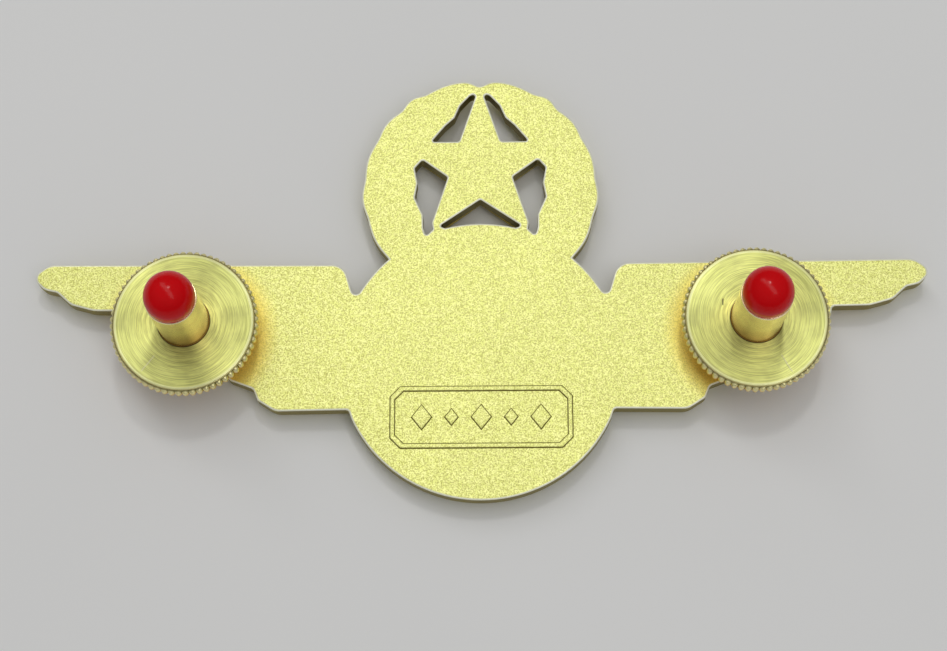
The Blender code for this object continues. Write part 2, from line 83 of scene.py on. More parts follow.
class Finish:
    """One material being mixed: a Principled surface and the nodes that feed it."""

    def __init__(self, name, **constants):
        self.material = bpy.data.materials.new(name)
        self.material.use_nodes = True
        self.tree = self.material.node_tree
        self.shader = self.tree.nodes["Principled BSDF"]
        for word, value in constants.items():
            self.shader.inputs[word.replace("_", " ").title().replace("Ior", "IOR")].default_value = value

    def node(self, kind, settings=None, inputs=None, output=0):
        """Add a node, with its settings first and then the values or links of its sockets."""
        node = self.tree.nodes.new(kind)
        for word, value in (settings or {}).items():
            setattr(node, word, value)
        for place, value in (inputs or {}).items():
            self.feed(node.inputs[place], value)
        return Wire(self, node.outputs[output])

    def feed(self, socket, value):
        if isinstance(value, Wire):
            self.tree.links.new(value.socket, socket)
        else:
            socket.default_value = value

    def math(self, operation, first, second=0.0):
        return self.node("ShaderNodeMath", {"operation": operation}, {0: first, 1: second})

    def place(self, centre=(0.0, 0.0, 0.0)):
        """Where a point is on the object, in millimetres from a centre given in metres."""
        there = self.node("ShaderNodeTexCoord", output=3)
        shift = [-value / MM for value in centre]
        settings = {"Vector": there, "Location": shift, "Scale": (1.0 / MM,) * 3}
        return self.node("ShaderNodeMapping", inputs=settings)

    def axis(self, place, letter):
        return self.node("ShaderNodeSeparateXYZ", inputs={0: place}, output="XYZ".index(letter))

    def reach(self, place):
        """The distance from the upright axis through a place's centre."""
        across = self.axis(place, "X")
        deep = self.axis(place, "Y")
        return (across * across + deep * deep) ** 0.5

    def upright(self):
        """1 on a standing wall, 0 on a face that lies flat or leans."""
        lean = self.math("ABSOLUTE", self.axis(self.node("ShaderNodeTexCoord", output=1), "Z"))
        return 1.0 - self.fade(lean, 0.12, 0.45)

    def grain(self, place, scale, detail=2.0, rough=0.5):
        """Soft noise from 0 to 1, with scale spots to the millimetre."""
        sizes = {"Vector": place, "Scale": scale, "Detail": detail, "Roughness": rough}
        return self.node("ShaderNodeTexNoise", inputs=sizes)

    def fade(self, value, start, end):
        """0 at start, 1 at end, smooth between them."""
        inputs = {0: value, 1: start, 2: end, 3: 0.0, 4: 1.0}
        return self.node("ShaderNodeMapRange", {"interpolation_type": "SMOOTHSTEP"}, inputs)

    def blend(self, share, first, second):
        """A colour share of the way from the first to the second."""
        colours = [(*colour, 1.0) if isinstance(colour, tuple) else colour for colour in (first, second)]
        inputs = {0: share, 6: colours[0], 7: colours[1]}
        return self.node("ShaderNodeMix", {"data_type": "RGBA"}, inputs, output=2)

    def bump(self, height, strength, depth):
        """Turn a height from 0 to 1 into relief that is depth millimetres deep."""
        inputs = {"Height": height, "Strength": strength, "Distance": depth * MM}
        return self.node("ShaderNodeBump", inputs=inputs)

    def surface(self, **links):
        """Feed the surface's own sockets and hand back the material."""
        for word, value in links.items():
            self.feed(self.shader.inputs[word.replace("_", " ").title()], value)
        return self.material


def only(piece):
    """Select one object and nothing else."""
    bpy.ops.object.select_all(action="DESELECT")
    piece.select_set(True)
    bpy.context.view_layer.objects.active = piece


bpy.ops.object.select_all(action="DESELECT")
bpy.ops.mesh.primitive_plane_add(size=3.0)
table = bpy.context.object
table.name = "pale_table"
table_finish = Finish("pale_table_top", roughness=0.85)
tone = table_finish.grain(table_finish.place(), 0.02)
table.data.materials.append(
    table_finish.surface(base_color=table_finish.blend(tone, (0.84, 0.84, 0.83), (0.89, 0.89, 0.88)))
)


def soft_light(name, size, distance, azimuth, elevation, roll, radiance):
    """An area light of even radiance that faces the pin; azimuth 90 is beyond the star."""
    data = bpy.data.lights.new(name, "AREA")
    data.shape = "RECTANGLE"
    data.size, data.size_y = size
    data.energy = radiance * math.pi * size[0] * size[1]
    lamp = bpy.data.objects.new(name, data)
    bpy.context.scene.collection.objects.link(lamp)
    level = math.cos(math.radians(elevation))
    turn = math.radians(azimuth)
    toward = Vector((level * math.cos(turn), level * math.sin(turn), math.sin(math.radians(elevation))))
    lamp.location = toward * distance
    lamp.rotation_mode = "QUATERNION"
    spin = Quaternion((0.0, 0.0, 1.0), math.radians(roll))
    lamp.rotation_quaternion = toward.to_track_quat("Z", "Y") @ spin


soft_light("long_soft_light", (1.3, 0.2), 0.62, 90.0, 80.0, -52.0, 1.9)
soft_light("small_window", (0.045, 0.06), 0.55, 82.0, 66.0, 0.0, 26.0)

room = bpy.data.worlds.new("room")
bpy.context.scene.world = room
room.use_nodes = True
room_nodes = room.node_tree.nodes
room_links = room.node_tree.links
direction = room_nodes.new("ShaderNodeTexCoord")
split = room_nodes.new("ShaderNodeSeparateXYZ")
ramp = room_nodes.new("ShaderNodeValToRGB")
horizon, overhead = ramp.color_ramp.elements
horizon.color = (0.13, 0.13, 0.13, 1.0)
overhead.color = (0.36, 0.36, 0.36, 1.0)
overhead.position = 0.75
room_links.new(direction.outputs["Generated"], split.inputs[0])
room_links.new(split.outputs["Z"], ramp.inputs[0])
room_links.new(ramp.outputs[0], room_nodes["Background"].inputs["Color"])

CAMERA_PLACE = (0.00144, -0.048234, 0.15891)
CAMERA_AIM = (-0.0127, 0.2741, -0.9616)
CAMERA_ROLL = -2.974
CAMERA_LENS = 72.88
camera_data = bpy.data.cameras.new("camera")
camera = bpy.data.objects.new("camera", camera_data)
bpy.context.scene.collection.objects.link(camera)
camera.location = CAMERA_PLACE
camera.rotation_mode = "QUATERNION"
roll = Quaternion((0.0, 0.0, 1.0), math.radians(CAMERA_ROLL))
camera.rotation_quaternion = Vector(CAMERA_AIM).to_track_quat("-Z", "Y") @ roll
camera_data.lens = CAMERA_LENS
camera_data.clip_start = 0.01
bpy.context.scene.camera = camera
bpy.context.scene.view_settings.view_transform = "Standard"


# The badge: one sheet of brass struck in a die, pierced round the star, gold plated and sandblasted to a fine
# satin on its back. Its edges are rolled there and carry a painted highlight, and its cut walls are painted
# dark as shade. A plain mark, a frame with cut corners round five lozenges, stands up from the back.
DISC_RADIUS = 11.97
RING_CENTRE = (0.0, 15.3)
RING_NOTCH_RADIUS = 10.06
RING_TOP_DIP = 0.42
RING_TOP_DIP_DEGREES = 4.2
RING_LOBES = ((62.0, 0.14), (47.0, 0.28), (27.5, 0.18), (5.4, 0.12), (-15.0, 0.2))
LAST_LOBE_RISE = 0.12
LOBE_STEPS = 20
LOBE_SHARPNESS = 1.5
WING_TOP_DEGREES = 37.0
WING_FOOT_DEGREES = -26.0
SHEET_FACE = 1.0
SHEET_BACK = 2.6
ROLLED_EDGE = 0.23
ROLLED_DEPTH = 0.08
MARK_CENTRE_Y = -4.9
MARK_HEIGHT = 0.14
MARK_SLOPE = 0.15
MARK_OUTER = (7.7, 2.7, 0.9)
MARK_INNER = (7.2, 2.2, 0.7)
LOZENGE_SPACING = 2.5
LARGE_LOZENGE = 1.15
SMALL_LOZENGE = 0.8
LOZENGE_SLIMNESS = 0.8
WELD_GAP = 0.0005
badge_low, badge_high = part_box("badge_plate")
badge_centre = Vector((0.0, badge_low.y + DISC_RADIUS * MM, 0.0))


def polar(radius, degrees, centre=(0.0, 0.0)):
    """A point at an angle on a circle."""
    angle = math.radians(degrees)
    return (centre[0] + radius * math.cos(angle), centre[1] + radius * math.sin(angle))


def arc(radius, start, end, centre=(0.0, 0.0), step=3.0):
    """Points along a circular arc, both ends included."""
    count = max(1, round(abs(end - start) / step))
    return [polar(radius, start + (end - start) * index / count, centre) for index in range(count + 1)]


def rounded(corners, step=9.0):
    """Points of a closed outline whose corners (x, y, radius) are rounded where the radius isn't zero."""
    outline = []
    for index, (x, y, radius) in enumerate(corners):
        corner = Vector((x, y))
        if radius == 0.0:
            outline.append((x, y))
            continue
        back = (Vector(corners[index - 1][:2]) - corner).normalized()
        ahead = (Vector(corners[(index + 1) % len(corners)][:2]) - corner).normalized()
        half = math.acos(max(-1.0, min(1.0, back.dot(ahead)))) / 2.0
        centre = corner + (back + ahead).normalized() * (radius / math.sin(half))
        first = corner + back * (radius / math.tan(half)) - centre
        sweep = -math.degrees(first.angle_signed(corner + ahead * (radius / math.tan(half)) - centre))
        start = math.degrees(math.atan2(first.y, first.x))
        outline += arc(radius, start, start + sweep, centre, min(step, abs(sweep) / 2.0))
    return outline


def mirrored(outline):
    """The left-hand twin of a right-hand outline."""
    return [(-x, y) for x, y in reversed(outline)]


def heading(point):
    return math.degrees(math.atan2(point[1], point[0]))


def wreath_edge():
    """The right half of the wreath's edge, leaf by leaf from the top notch to the round body."""
    squares = RING_CENTRE[1] ** 2 + RING_NOTCH_RADIUS**2 - DISC_RADIUS**2
    neck = -90.0 + math.degrees(math.acos(squares / (2.0 * RING_CENTRE[1] * RING_NOTCH_RADIUS)))
    edge = [polar(RING_NOTCH_RADIUS - RING_TOP_DIP, 90.0, RING_CENTRE)]
    start = 90.0
    for end, rise in (*RING_LOBES, (neck, LAST_LOBE_RISE)):
        for step in range(1, LOBE_STEPS + 1):
            share = step / LOBE_STEPS
            angle = start + (end - start) * share
            bulge = rise * abs(math.sin(math.pi * share)) ** LOBE_SHARPNESS
            dip = RING_TOP_DIP * math.exp(-(((90.0 - angle) / RING_TOP_DIP_DEGREES) ** 2))
            edge.append(polar(RING_NOTCH_RADIUS + bulge - dip, angle, RING_CENTRE))
        start = end
    return edge


def wing_edge():
    """The right wing's edge, from the notch beside the round body to the tip and back underneath."""
    corners = [
        (*polar(DISC_RADIUS, WING_TOP_DEGREES), 0.0),
        (10.78, 5.4, 0.4),
        (11.72, 8.55, 1.4),
        (37.0, 8.72, 1.6),
        (38.5, 7.6, 0.75),
        (37.3, 6.5, 1.2),
        (36.2, 6.25, 0.5),
        (35.0, 5.15, 1.5),
        (33.0, 4.6, 2.5),
        (29.8, 4.55, 0.3),
        (29.65, 3.6, 0.5),
        (27.4, 2.6, 1.5),
        (25.5, 2.2, 0.3),
        (25.3, 1.4, 0.5),
        (22.6, 0.4, 1.5),
        (21.2, -1.6, 1.0),
        (19.2, -2.35, 0.5),
        (18.8, -3.35, 0.5),
        (17.3, -4.3, 1.5),
        (11.15, -4.22, 0.3),
        (*polar(DISC_RADIUS, WING_FOOT_DEGREES), 0.0),
    ]
    return rounded(corners)[1:-1]


def badge_edge():
    """The whole badge's edge, from the top notch of the wreath round to it again."""
    wing = wing_edge()
    right = wreath_edge()
    right += arc(DISC_RADIUS, heading(right[-1]), heading(wing[0]))[1:-1]
    right += wing
    right += arc(DISC_RADIUS, heading(wing[-1]), -90.0)[1:]
    return right + mirrored(right[1:-1])


def wreath_windows():
    """The five openings between the star and the leaves."""
    upper = [
        (0.28, 24.3, 0.2),
        (1.82, 19.76, 0.25),
        (4.22, 19.76, 0.12),
        (3.8, 20.28, 0.0),
        (3.0, 21.25, 0.3),
        (2.22, 21.95, 0.3),
        (1.72, 23.1, 0.25),
        (0.85, 24.05, 0.25),
    ]
    side = [
        (5.02, 18.08, 0.22),
        (2.82, 16.46, 0.18),
        (4.2, 12.3, 0.4),
        (4.1, 11.68, 0.15),
        (4.72, 11.08, 0.18),
        (4.92, 11.8, 0.5),
        (4.94, 13.0, 0.4),
        (5.66, 14.6, 0.3),
        (5.42, 15.9, 0.4),
        (5.68, 17.32, 0.25),
    ]
    bottom = [(x, y, 0.0) for x, y in arc(DISC_RADIUS + 0.21, 75.5, 104.5)]
    lower = rounded([(0.0, 14.38, 0.15), (3.55, 11.98, 0.14), *bottom, (-3.55, 11.98, 0.14)])
    pair = [rounded(upper), rounded(side)]
    return [*pair, *[mirrored(outline) for outline in pair], lower]


def cut_sheet(name, loops, low, high, edge):
    """A flat piece between two heights, cut to loops of points and rolled at its edges."""
    curve = bpy.data.curves.new(name, "CURVE")
    curve.dimensions = "2D"
    curve.fill_mode = "BOTH"
    curve.extrude = (high - low) / 2.0 - edge
    curve.bevel_depth = edge
    curve.bevel_resolution = 3
    curve.offset = -edge
    for loop in loops:
        line = curve.splines.new("POLY")
        line.points.add(len(loop) - 1)
        for point, (x, y) in zip(line.points, loop):
            point.co = (x, y, 0.0, 1.0)
        line.use_cyclic_u = True
    piece = bpy.data.objects.new(name, curve)
    bpy.context.scene.collection.objects.link(piece)
    only(piece)
    bpy.ops.object.convert(target="MESH")
    piece = bpy.context.object
    piece.data.transform(Matrix.Translation((0.0, 0.0, (low + high) / 2.0)))
    tidy_mesh(piece)
    return piece


def tidy_mesh(piece):
    """Weld a mesh's doubles and turn its faces outwards."""
    only(piece)
    bpy.ops.object.mode_set(mode="EDIT")
    bpy.ops.mesh.select_all(action="SELECT")
    bpy.ops.mesh.remove_doubles(threshold=WELD_GAP)
    bpy.ops.mesh.normals_make_consistent(inside=False)
    bpy.ops.object.mode_set(mode="OBJECT")


def join(name, pieces):
    """Make several objects one."""
    only(pieces[0])
    for piece in pieces[1:]:
        piece.select_set(True)
    bpy.ops.object.join()
    whole = bpy.context.object
    whole.name = name
    return whole


def set_down(piece, place, degrees):
    """Bring a piece from millimetres to its place in metres, and shade it round below a fold's angle."""
    piece.data.transform(Matrix.Translation(place) @ Matrix.Scale(MM, 4))
    only(piece)
    bpy.ops.object.shade_smooth_by_angle(angle=math.radians(degrees))
    bpy.ops.object.modifier_add(type="WEIGHTED_NORMAL")
    piece.modifiers[-1].keep_sharp = True
    bpy.ops.object.modifier_apply(modifier=piece.modifiers[-1].name)


def cut_corners(half_width, half_height, cut):
    """A rectangle about the mark's centre with its four corners cut off."""
    corners = []
    for sign_x, sign_y in ((1, 1), (-1, 1), (-1, -1), (1, -1)):
        side = (sign_x * half_width, MARK_CENTRE_Y + sign_y * (half_height - cut))
        end = (sign_x * (half_width - cut), MARK_CENTRE_Y + sign_y * half_height)
        corners += [side, end] if sign_x * sign_y > 0 else [end, side]
    return corners


sheet = cut_sheet("sheet", [badge_edge(), *wreath_windows()], SHEET_FACE, SHEET_BACK, ROLLED_EDGE)
for corner in sheet.data.vertices:
    fall = SHEET_BACK - corner.co.z
    if fall < ROLLED_EDGE + 0.001:
        corner.co.z = SHEET_BACK - fall * ROLLED_DEPTH / ROLLED_EDGE
mark_low = SHEET_BACK - 0.2
mark_high = SHEET_BACK + MARK_HEIGHT
mark_loops = [cut_corners(*MARK_OUTER), cut_corners(*MARK_INNER)]
badge_parts = [sheet, cut_sheet("mark_frame", mark_loops, mark_low, mark_high, MARK_SLOPE)]
for step in range(-2, 3):
    reach = SMALL_LOZENGE if step % 2 else LARGE_LOZENGE
    x = step * LOZENGE_SPACING
    across = reach * LOZENGE_SLIMNESS
    lozenge = [(x, MARK_CENTRE_Y + reach), (x - across, MARK_CENTRE_Y)]
    lozenge += [(x, MARK_CENTRE_Y - reach), (x + across, MARK_CENTRE_Y)]
    badge_parts.append(cut_sheet(f"mark_lozenge_{step}", [lozenge], mark_low, mark_high, MARK_SLOPE))


# The badge's face, struck in the same blow: rows of feathers on each wing, laurel leaves and a faceted star
# in the wreath, and a round seal with a beaded rim and a compass rose. All of it is one sheet with the back.
FEATHER_ROOT_X = 11.95
LEAF_STATIONS = 8
LEAF_START_DEGREES = -38.0
LEAF_STEP_DEGREES = 14.5
LEAF_SWEEP_DEGREES = 19.0
BEAD_COUNT = 60
BEAD_RADIUS = 0.36
BEAD_RING = 9.2
BEAD_HEIGHT = 0.62
FEATHER_TIP_START = 0.8
PRIMARY_TIPS = (
    (38.0, 7.6),
    (35.6, 6.3),
    (33.0, 5.35),
    (29.2, 4.45),
    (27.0, 3.3),
    (25.0, 2.15),
    (22.3, 0.95),
    (20.8, -0.75),
    (18.4, -2.3),
    (16.8, -3.2),
)
COVERT_TIPS = ((26.6, 7.0), (24.9, 5.6), (23.1, 4.3), (21.2, 3.0), (19.4, 1.7), (17.8, 0.4), (16.5, -0.9))
SHOULDER_TIPS = ((20.4, 6.8), (19.1, 5.3), (17.7, 3.9), (16.4, 2.5), (15.2, 1.2))
STAR_CENTRE = (0.0, 17.35)


def only_new(add, **words):
    """Add a primitive with nothing else selected and hand it back."""
    bpy.ops.object.select_all(action="DESELECT")
    add(**words)
    return bpy.context.object


def back_with_walls(piece, depth):
    """Close a struck surface with walls and a flat back, depth behind it."""
    only(piece)
    bpy.ops.object.mode_set(mode="EDIT")
    bpy.ops.mesh.select_all(action="SELECT")
    bpy.ops.mesh.extrude_region_move(TRANSFORM_OT_translate={"value": (0.0, 0.0, depth)})
    bpy.ops.transform.resize(value=(1.0, 1.0, 0.0), center_override=(0.0, 0.0, depth))
    bpy.ops.object.mode_set(mode="OBJECT")
    tidy_mesh(piece)


def struck_blade(name, width, crown, ribs, pointed):
    """A feather or a leaf of unit length along +X, crowned towards -Z, with a mid rib and slanted barbs."""
    blade = only_new(bpy.ops.mesh.primitive_grid_add, x_subdivisions=2 * ribs, y_subdivisions=8, size=2.0)
    blade.name = name
    for corner in blade.data.vertices:
        along = (corner.co.x + 1.0) / 2.0
        across = corner.co.y
        barb = round(along * 2 * ribs) % 2
        if pointed:
            swell = math.sin(math.pi * min(1.0, along**0.8)) ** 0.75 if 0.0 < along < 1.0 else 0.0
        else:
            swell = 1.0 - 0.15 * along
            past = max(0.0, (along - FEATHER_TIP_START) / (1.0 - FEATHER_TIP_START))
            swell *= math.sqrt(max(0.0, 1.0 - past**2))
        height = crown * (1.0 - across**2) * (0.25 + 0.75 * swell)
        if abs(across) < 0.01:
            height += 0.22 * crown
        elif abs(across) < 0.99:
            height += 0.16 * crown * barb
        slant = 0.035 * abs(across) * swell
        corner.co = (along - slant * (1.0 - along), across * swell * width / 2.0, -height)
    back_with_walls(blade, 0.5)
    return blade


def twin(piece, name):
    """A copy with its own mesh."""
    copy = bpy.data.objects.new(name, piece.data.copy())
    bpy.context.scene.collection.objects.link(copy)
    return copy


def lay(blade, root, tip, height):
    """A copy of a blade, stretched from its root to its tip at a height."""
    copy = twin(blade, blade.name)
    reach = Vector(tip) - Vector(root)
    turn = Matrix.Rotation(math.atan2(reach.y, reach.x), 4, "Z")
    stretch = Matrix.Diagonal((reach.length, 1.0, 1.0, 1.0))
    copy.data.transform(Matrix.Translation((*root, height)) @ turn @ stretch)
    return copy


def struck_star(name, outer, inner, tips, centre, rim, peak):
    """A star with a ridge down each point, from its rim's height to its peak's."""
    star = only_new(bpy.ops.mesh.primitive_circle_add, vertices=2 * tips, radius=1.0, fill_type="TRIFAN")
    star.name = name
    for corner in star.data.vertices:
        if corner.co.length < 0.5:
            corner.co = (*centre, peak)
            continue
        step = round((heading(corner.co) - 90.0) / (180.0 / tips))
        corner.co = (*polar(inner if step % 2 else outer, 90.0 + step * 180.0 / tips, centre), rim)
    back_with_walls(star, 0.8)
    return star


def turned(name, profile, steps):
    """Spin a profile of (radius, height) points once round an upright axis, as on a lathe."""
    piece = only_new(bpy.ops.mesh.primitive_plane_add, size=1.0)
    piece.name = name
    bpy.ops.object.mode_set(mode="EDIT")
    bpy.ops.mesh.select_all(action="SELECT")
    bpy.ops.mesh.merge(type="CENTER")
    pen = Vector((0.0, 0.0, 0.0))
    for index, (radius, height) in enumerate(profile):
        step = Vector((radius, 0.0, height)) - pen
        if index:
            bpy.ops.mesh.extrude_region_move(TRANSFORM_OT_translate={"value": step})
        else:
            bpy.ops.transform.translate(value=step)
        pen += step
    bpy.ops.mesh.select_all(action="SELECT")
    if steps:
        bpy.ops.mesh.spin(steps=steps, angle=math.tau, center=(0.0, 0.0, 0.0), axis=(0.0, 0.0, 1.0))
    bpy.ops.object.mode_set(mode="OBJECT")
    if steps:
        tidy_mesh(piece)
    return piece


feather = struck_blade("feather", 1.75, 0.26, 16, False)
leaf = struck_blade("leaf", 1.45, 0.28, 7, True)
right_side = []
for rank, tip in enumerate(PRIMARY_TIPS):
    root_x = FEATHER_ROOT_X + max(0.0, 0.9 - 0.3 * rank)
    right_side.append(lay(feather, (root_x, 7.65 - 1.18 * rank), tip, 0.96))
for rank, tip in enumerate(COVERT_TIPS):
    right_side.append(lay(feather, (FEATHER_ROOT_X + 0.3, 7.0 - 1.35 * rank), tip, 0.74))
for rank, tip in enumerate(SHOULDER_TIPS):
    right_side.append(lay(feather, (FEATHER_ROOT_X + 0.3, 6.7 - 1.4 * rank), tip, 0.52))
for station in range(LEAF_STATIONS):
    start = LEAF_START_DEGREES + LEAF_STEP_DEGREES * station
    inner_tip = 6.95 if start < 30.0 else 7.6
    spread = ((8.75, 9.5, 0.78), (8.0, inner_tip, 0.78), (8.35, 8.4, 0.6))
    for root_radius, tip_radius, height in spread:
        if start > 40.0 and tip_radius < 9.0:
            continue
        root = polar(root_radius, start, RING_CENTRE)
        tip = polar(tip_radius, start + LEAF_SWEEP_DEGREES, RING_CENTRE)
        right_side.append(lay(leaf, root, tip, height))
right_relief = join("right_relief", right_side)
bpy.ops.object.modifier_add(type="MIRROR")
right_relief.modifiers[-1].use_mirror_merge = False
bpy.ops.object.modifier_apply(modifier=right_relief.modifiers[-1].name)
for spare in (feather, leaf):
    bpy.data.objects.remove(spare)

seal_profile = [
    (0.0, 1.3),
    (11.5, 1.3),
    (11.5, 0.35),
    (11.42, 0.12),
    (11.25, 0.0),
    (10.4, 0.0),
    (10.22, 0.1),
    (10.1, 0.35),
    (9.9, 0.65),
    (8.5, 0.65),
    (8.38, 0.42),
    (8.2, 0.36),
    (8.02, 0.42),
    (7.9, 0.65),
    (0.0, 0.65),
]
relief = [right_relief, turned("seal", seal_profile, 160)]
relief.append(struck_star("star", 7.4, 2.83, 5, STAR_CENTRE, 0.7, 0.15))
relief.append(struck_star("rose_under", 6.0, 2.2, 4, (0.0, 0.0), 0.55, 0.3))
relief[-1].data.transform(Matrix.Rotation(math.radians(45.0), 4, "Z"))
relief.append(struck_star("rose", 7.3, 1.9, 4, (0.0, 0.0), 0.5, 0.12))
bead = only_new(bpy.ops.mesh.primitive_ico_sphere_add, subdivisions=2, radius=BEAD_RADIUS)
for step in range(BEAD_COUNT):
    copy = twin(bead, "bead")
    copy.data.transform(Matrix.Translation((*polar(BEAD_RING, 360.0 * step / BEAD_COUNT), BEAD_HEIGHT)))
    relief.append(copy)
bpy.data.objects.remove(bead)

badge = join("struck_badge", [*badge_parts, *relief])
set_down(badge, badge_centre, 42.0)

# Radii of the painted reflection: a warm orange ring round each stud, standing in for the nut's brass seen in
# the plate.
NUT_REFLECTION_START = 5.8
NUT_REFLECTION_END = 7.9
SIDES = ("left", "right")
stud_axis = {}
nut_axis = {}
for side in SIDES:
    low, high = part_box(f"{side}_nut_disc")
    stud_axis[side] = Vector(((low.x + high.x) / 2.0, (low.y + high.y) / 2.0, SHEET_BACK * MM))
    nut_axis[side] = Vector((stud_axis[side].x, stud_axis[side].y, low.z))


def satin_gold():
    """Sandblasted gold plate: a fine bright grain with darker specks, and a painted highlight where its edges
    roll over.

    A warm orange ring painted round each stud stands in for the nut's brass reflected in the plate, and its
    cut walls and the mark's slopes are painted dark as shade.
    """
    gold = Finish("satin_gold")
    place = gold.place()
    height = gold.axis(place, "Z")
    back = gold.fade(height, SHEET_BACK - 0.014, SHEET_BACK - 0.003)
    # Painted highlight: the rolled edges are painted near white and made less metallic, for the bright line
    # along them.
    rolled = gold.fade(height, SHEET_BACK - 0.16, SHEET_BACK - 0.1) - back
    wall = gold.upright()
    fine = gold.grain(place, 8.0, 2.0, 0.65)
    coarse = gold.grain(place, 3.0, 2.0, 0.5)
    cloud = gold.grain(place, 0.12, 3.0, 0.5)
    specks = gold.fade(fine, 0.40, 0.66) * back
    tint = gold.blend(cloud, (0.90, 0.92, 0.31), (0.85, 0.88, 0.31))
    bright = gold.blend(gold.fade(coarse, 0.35, 0.65), tint, (0.97, 0.98, 0.40))
    # Painted reflection: the plate is painted warm orange round each stud, standing in for the nut's brass it
    # reflects, and its dark specks fade there.
    nut_reflections = 0.0
    for centre in stud_axis.values():
        nut_reflection = (1.0 - gold.fade(gold.reach(gold.place(centre)), NUT_REFLECTION_START, NUT_REFLECTION_END)) * back
        bright = gold.blend(nut_reflection * 0.75, bright, (1.0, 0.78, 0.14))
        nut_reflections = nut_reflections + nut_reflection
    colour = gold.blend(specks * (0.7 - nut_reflections * 0.4), bright, (0.50, 0.47, 0.13))
    colour = gold.blend(rolled, colour, (1.0, 1.0, 0.80))
    struck = 1.0 - gold.fade(height, SHEET_FACE - 0.1, SHEET_FACE + 0.05)
    colour = gold.blend(struck, colour, (0.92, 0.76, 0.32))
    # Painted shade: the cut walls are painted dark.
    colour = gold.blend(wall, colour, (0.30, 0.25, 0.08))
    mark_top = gold.fade(height, SHEET_BACK + MARK_HEIGHT * 0.8, SHEET_BACK + MARK_HEIGHT * 0.97)
    # Painted shade: the mark's slopes are painted dark, drawing its outline.
    shaded_slope = gold.fade(height, SHEET_BACK + 0.004, SHEET_BACK + 0.015) * (1.0 - mark_top)
    colour = gold.blend(shaded_slope * 0.85, colour, (0.28, 0.22, 0.05))
    blast = fine * 0.55 + coarse * 0.45
    return gold.surface(
        base_color=colour,
        roughness=0.48 + specks * 0.1 - rolled * 0.14 - struck * 0.16 + cloud * 0.04,
        metallic=1.0 - rolled * 0.75,
        normal=gold.bump(blast, 0.8, 0.04),
    )


badge.data.materials.clear()
badge.data.materials.append(satin_gold())
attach(badge, "badge")
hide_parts("badge_plate")


# The studs: brass screws cut with a 40-per-inch thread, with a plain neck, a round foot and a chamfered end.
# Each stands on the badge's back in a ring of silver solder.
PITCH = 0.635
THREAD_MAJOR = 1.4225
THREAD_MINOR = 1.0785
NECK_TOP = 0.85
STUD_TOP = 7.0
THREAD_STEPS = 64


def screw_rod(name, major, minor, phase, low, high):
    """A rod with a right-hand thread, flat at crest and root, cut square at both ends."""
    turns = math.ceil((high - low) / PITCH) + 4
    start = phase + PITCH * (math.floor((low - phase) / PITCH) - 2)
    line = []
    for turn in range(turns):
        base = start + PITCH * turn
        line += [(major, base), (major, base + PITCH / 8.0)]
        line += [(minor, base + PITCH * 7.0 / 16.0), (minor, base + PITCH * 11.0 / 16.0)]
    line.append((major, start + PITCH * turns))
    rod = turned(name, line, 0)
    only(rod)
    bpy.ops.object.modifier_add(type="SCREW")
    screw = rod.modifiers[-1]
    screw.screw_offset = PITCH
    screw.steps = THREAD_STEPS
    screw.render_steps = THREAD_STEPS
    bpy.ops.object.modifier_apply(modifier=screw.name)
    tidy_mesh(rod)
    bpy.ops.object.mode_set(mode="EDIT")
    for height, up in ((low, -1.0), (high, 1.0)):
        bpy.ops.mesh.select_all(action="SELECT")
        cutting = {"plane_co": (0.0, 0.0, height), "plane_no": (0.0, 0.0, up)}
        bpy.ops.mesh.bisect(use_fill=True, clear_outer=True, **cutting)
    bpy.ops.object.mode_set(mode="OBJECT")
    tidy_mesh(rod)
    return rod


def combine(piece, tool, operation):
    """Join or cut a piece with a tool, which is then thrown away."""
    only(piece)
    bpy.ops.object.modifier_add(type="BOOLEAN")
    modifier = piece.modifiers[-1]
    modifier.operation = operation
    modifier.object = tool
    bpy.ops.object.modifier_apply(modifier=modifier.name)
    bpy.data.objects.remove(tool)


stud = screw_rod("stud", THREAD_MAJOR, THREAD_MINOR, 0.0, NECK_TOP, STUD_TOP)
for corner in stud.data.vertices:
    radius = corner.co.xy.length
    from_end = min(1.2 * (corner.co.z - NECK_TOP), 0.9 * (STUD_TOP - corner.co.z))
    widest = THREAD_MINOR - 0.1 + from_end
    if radius > widest:
        corner.co.x *= widest / radius
        corner.co.y *= widest / radius
foot_profile = [
    (0.0, 0.05),
    (2.04, 0.05),
    (2.1, 0.1),
    (2.1, 0.38),
    (2.07, 0.46),
    (1.99, 0.5),
    (1.2, 0.5),
    (1.08, 0.54),
    (1.04, 0.64),
    (1.04, 1.4),
    (0.0, 1.4),
]
combine(stud, turned("foot", foot_profile, 64), "UNION")


def cut_brass(name, centre):
    """Bare brass as a die leaves it: fine marks along the thread, with painted shade darkening the roots."""
    brass = Finish(name, metallic=1.0)
    place = brass.place(centre)
    radius = brass.reach(place)
    # Painted shade: the thread's roots are painted darker.
    root = 1.0 - brass.fade(radius, THREAD_MINOR + 0.02, THREAD_MAJOR - 0.05)
    marks = brass.grain(place, 7.0, 3.0, 0.6)
    colour = brass.blend(root * 0.7 + marks * 0.2, (0.84, 0.72, 0.32), (0.36, 0.25, 0.08))
    return brass.surface(
        base_color=colour,
        roughness=0.26 + root * 0.18 + marks * 0.12,
        normal=brass.bump(marks, 0.4, 0.012),
    )


for side in SIDES:
    piece = twin(stud, f"{side}_threaded_stud")
    set_down(piece, stud_axis[side], 35.0)
    piece.data.materials.append(cut_brass(f"{side}_stud_brass", stud_axis[side]))
    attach(piece, "badge")
    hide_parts(f"{side}_stud")
bpy.data.objects.remove(stud)


